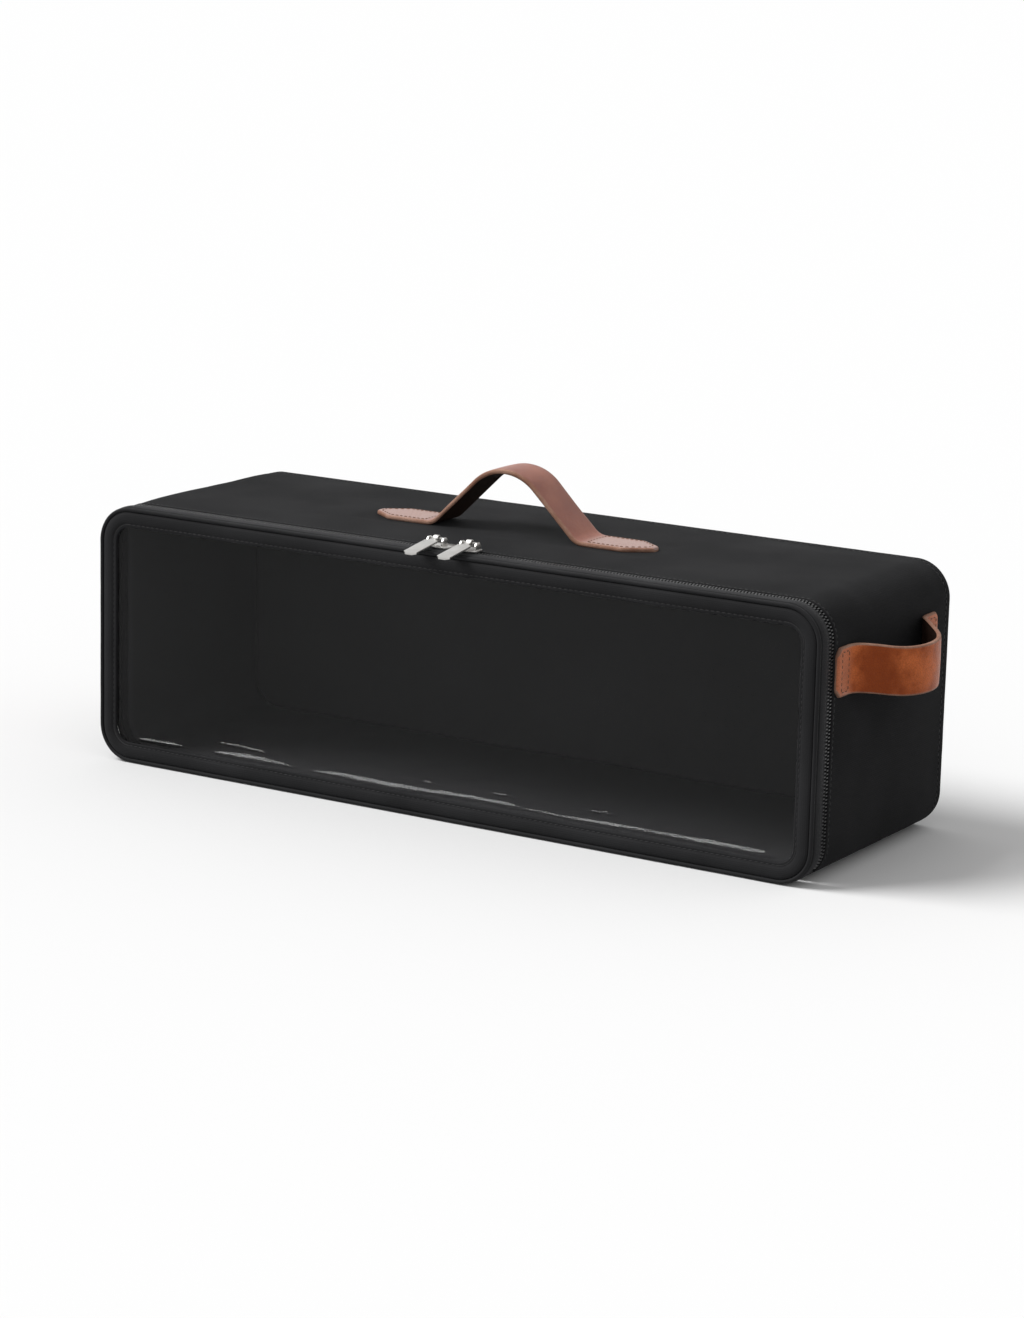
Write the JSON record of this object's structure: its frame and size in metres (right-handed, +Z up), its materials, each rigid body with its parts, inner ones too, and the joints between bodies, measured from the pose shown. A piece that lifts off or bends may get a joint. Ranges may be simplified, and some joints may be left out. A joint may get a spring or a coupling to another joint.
{
  "type": "disc storage box",
  "caption": "Soft-sided fabric storage box for disc cases, with a clear zipped front that folds down and leather strap handles.",
  "frame": {"origin": "middle of the underside, on the surface that the box stands on", "axes": "+X to the right seen from the front, along the width; +Y from the window to the back; +Z up"},
  "size_m": [0.504, 0.1648, 0.1809],
  "materials": {
    "shell_fabric": "plain weave, matte",
    "piping": "folded tape, matte",
    "board": "matte",
    "lining_fabric": "matte",
    "zip_tape": "matte",
    "zip_teeth": "satin",
    "clear_film": "clear, glossy",
    "slider_metal": "nickel plated",
    "leather": "smooth, satin"
  },
  "bodies": {
    "case": {"outer_cover": "shell_fabric", "sleeve_board": "board", "lining": "lining_fabric", "back_board": "board", "back_cover": "shell_fabric", "back_piping": "piping", "case_front_binding": "piping", "case_zip_tape": "zip_tape", "case_zip_teeth": "zip_teeth", "case_zip_stops": "zip_teeth", "hinge_strip": "shell_fabric", "top_handle_ends": "leather", "right_handle_ends": "leather", "left_handle_ends": "leather"},
    "front_flap": {"flap_rim_cover": "shell_fabric", "flap_rim_strip": "board", "flap_zip_tape": "zip_tape", "flap_zip_teeth": "zip_teeth", "flap_zip_stops": "zip_teeth", "flap_piping": "piping", "window_border": "shell_fabric", "window_film": "clear_film"},
    "slider_right_body": {"slider_right": "slider_metal"},
    "slider_left_body": {"slider_left": "slider_metal"},
    "pull_right_body": {"pull_right": "slider_metal"},
    "pull_left_body": {"pull_left": "slider_metal"},
    "top_handle": {"top_handle_strap": "leather"},
    "right_handle": {"right_handle_strap": "leather"},
    "left_handle": {"left_handle_strap": "leather"}
  },
  "joints": [
    {"name": "front_flap_hinge", "type": "hinge", "parent": "case", "child": "front_flap", "pos_m": [0, -0.075, 0], "axis": [1, 0, 0], "range_deg": [0, 90]},
    {"name": "right_slider_travel", "type": "slide", "parent": "case", "child": "slider_right_body", "axis": [1, 0, 0], "range_m": [0, 0.187]},
    {"name": "left_slider_travel", "type": "slide", "parent": "case", "child": "slider_left_body", "axis": [-1, 0, 0], "range_m": [0, 0.187]},
    {"name": "right_pull_swing", "type": "hinge", "parent": "slider_right_body", "child": "pull_right_body", "pos_m": [0.01035, -0.062, 0.1499], "axis": [-1, 0, 0], "range_deg": [0, 190]},
    {"name": "left_pull_swing", "type": "hinge", "parent": "slider_left_body", "child": "pull_left_body", "pos_m": [-0.01035, -0.062, 0.1499], "axis": [-1, 0, 0], "range_deg": [0, 190]},
    {"name": "top_handle_swing", "type": "hinge", "parent": "case", "child": "top_handle", "pos_m": [0, 0, 0.1616], "axis": [1, 0, 0], "range_deg": [-40, 40], "stiffness_Nm_per_rad": 0.05},
    {"name": "right_handle_swing", "type": "hinge", "parent": "case", "child": "right_handle", "pos_m": [0.2416, -0.001, 0.109], "axis": [0, 1, 0], "range_deg": [-40, 40], "stiffness_Nm_per_rad": 0.05},
    {"name": "left_handle_swing", "type": "hinge", "parent": "case", "child": "left_handle", "pos_m": [-0.2416, -0.001, 0.109], "axis": [0, 1, 0], "range_deg": [-40, 40], "stiffness_Nm_per_rad": 0.05}
  ]
}
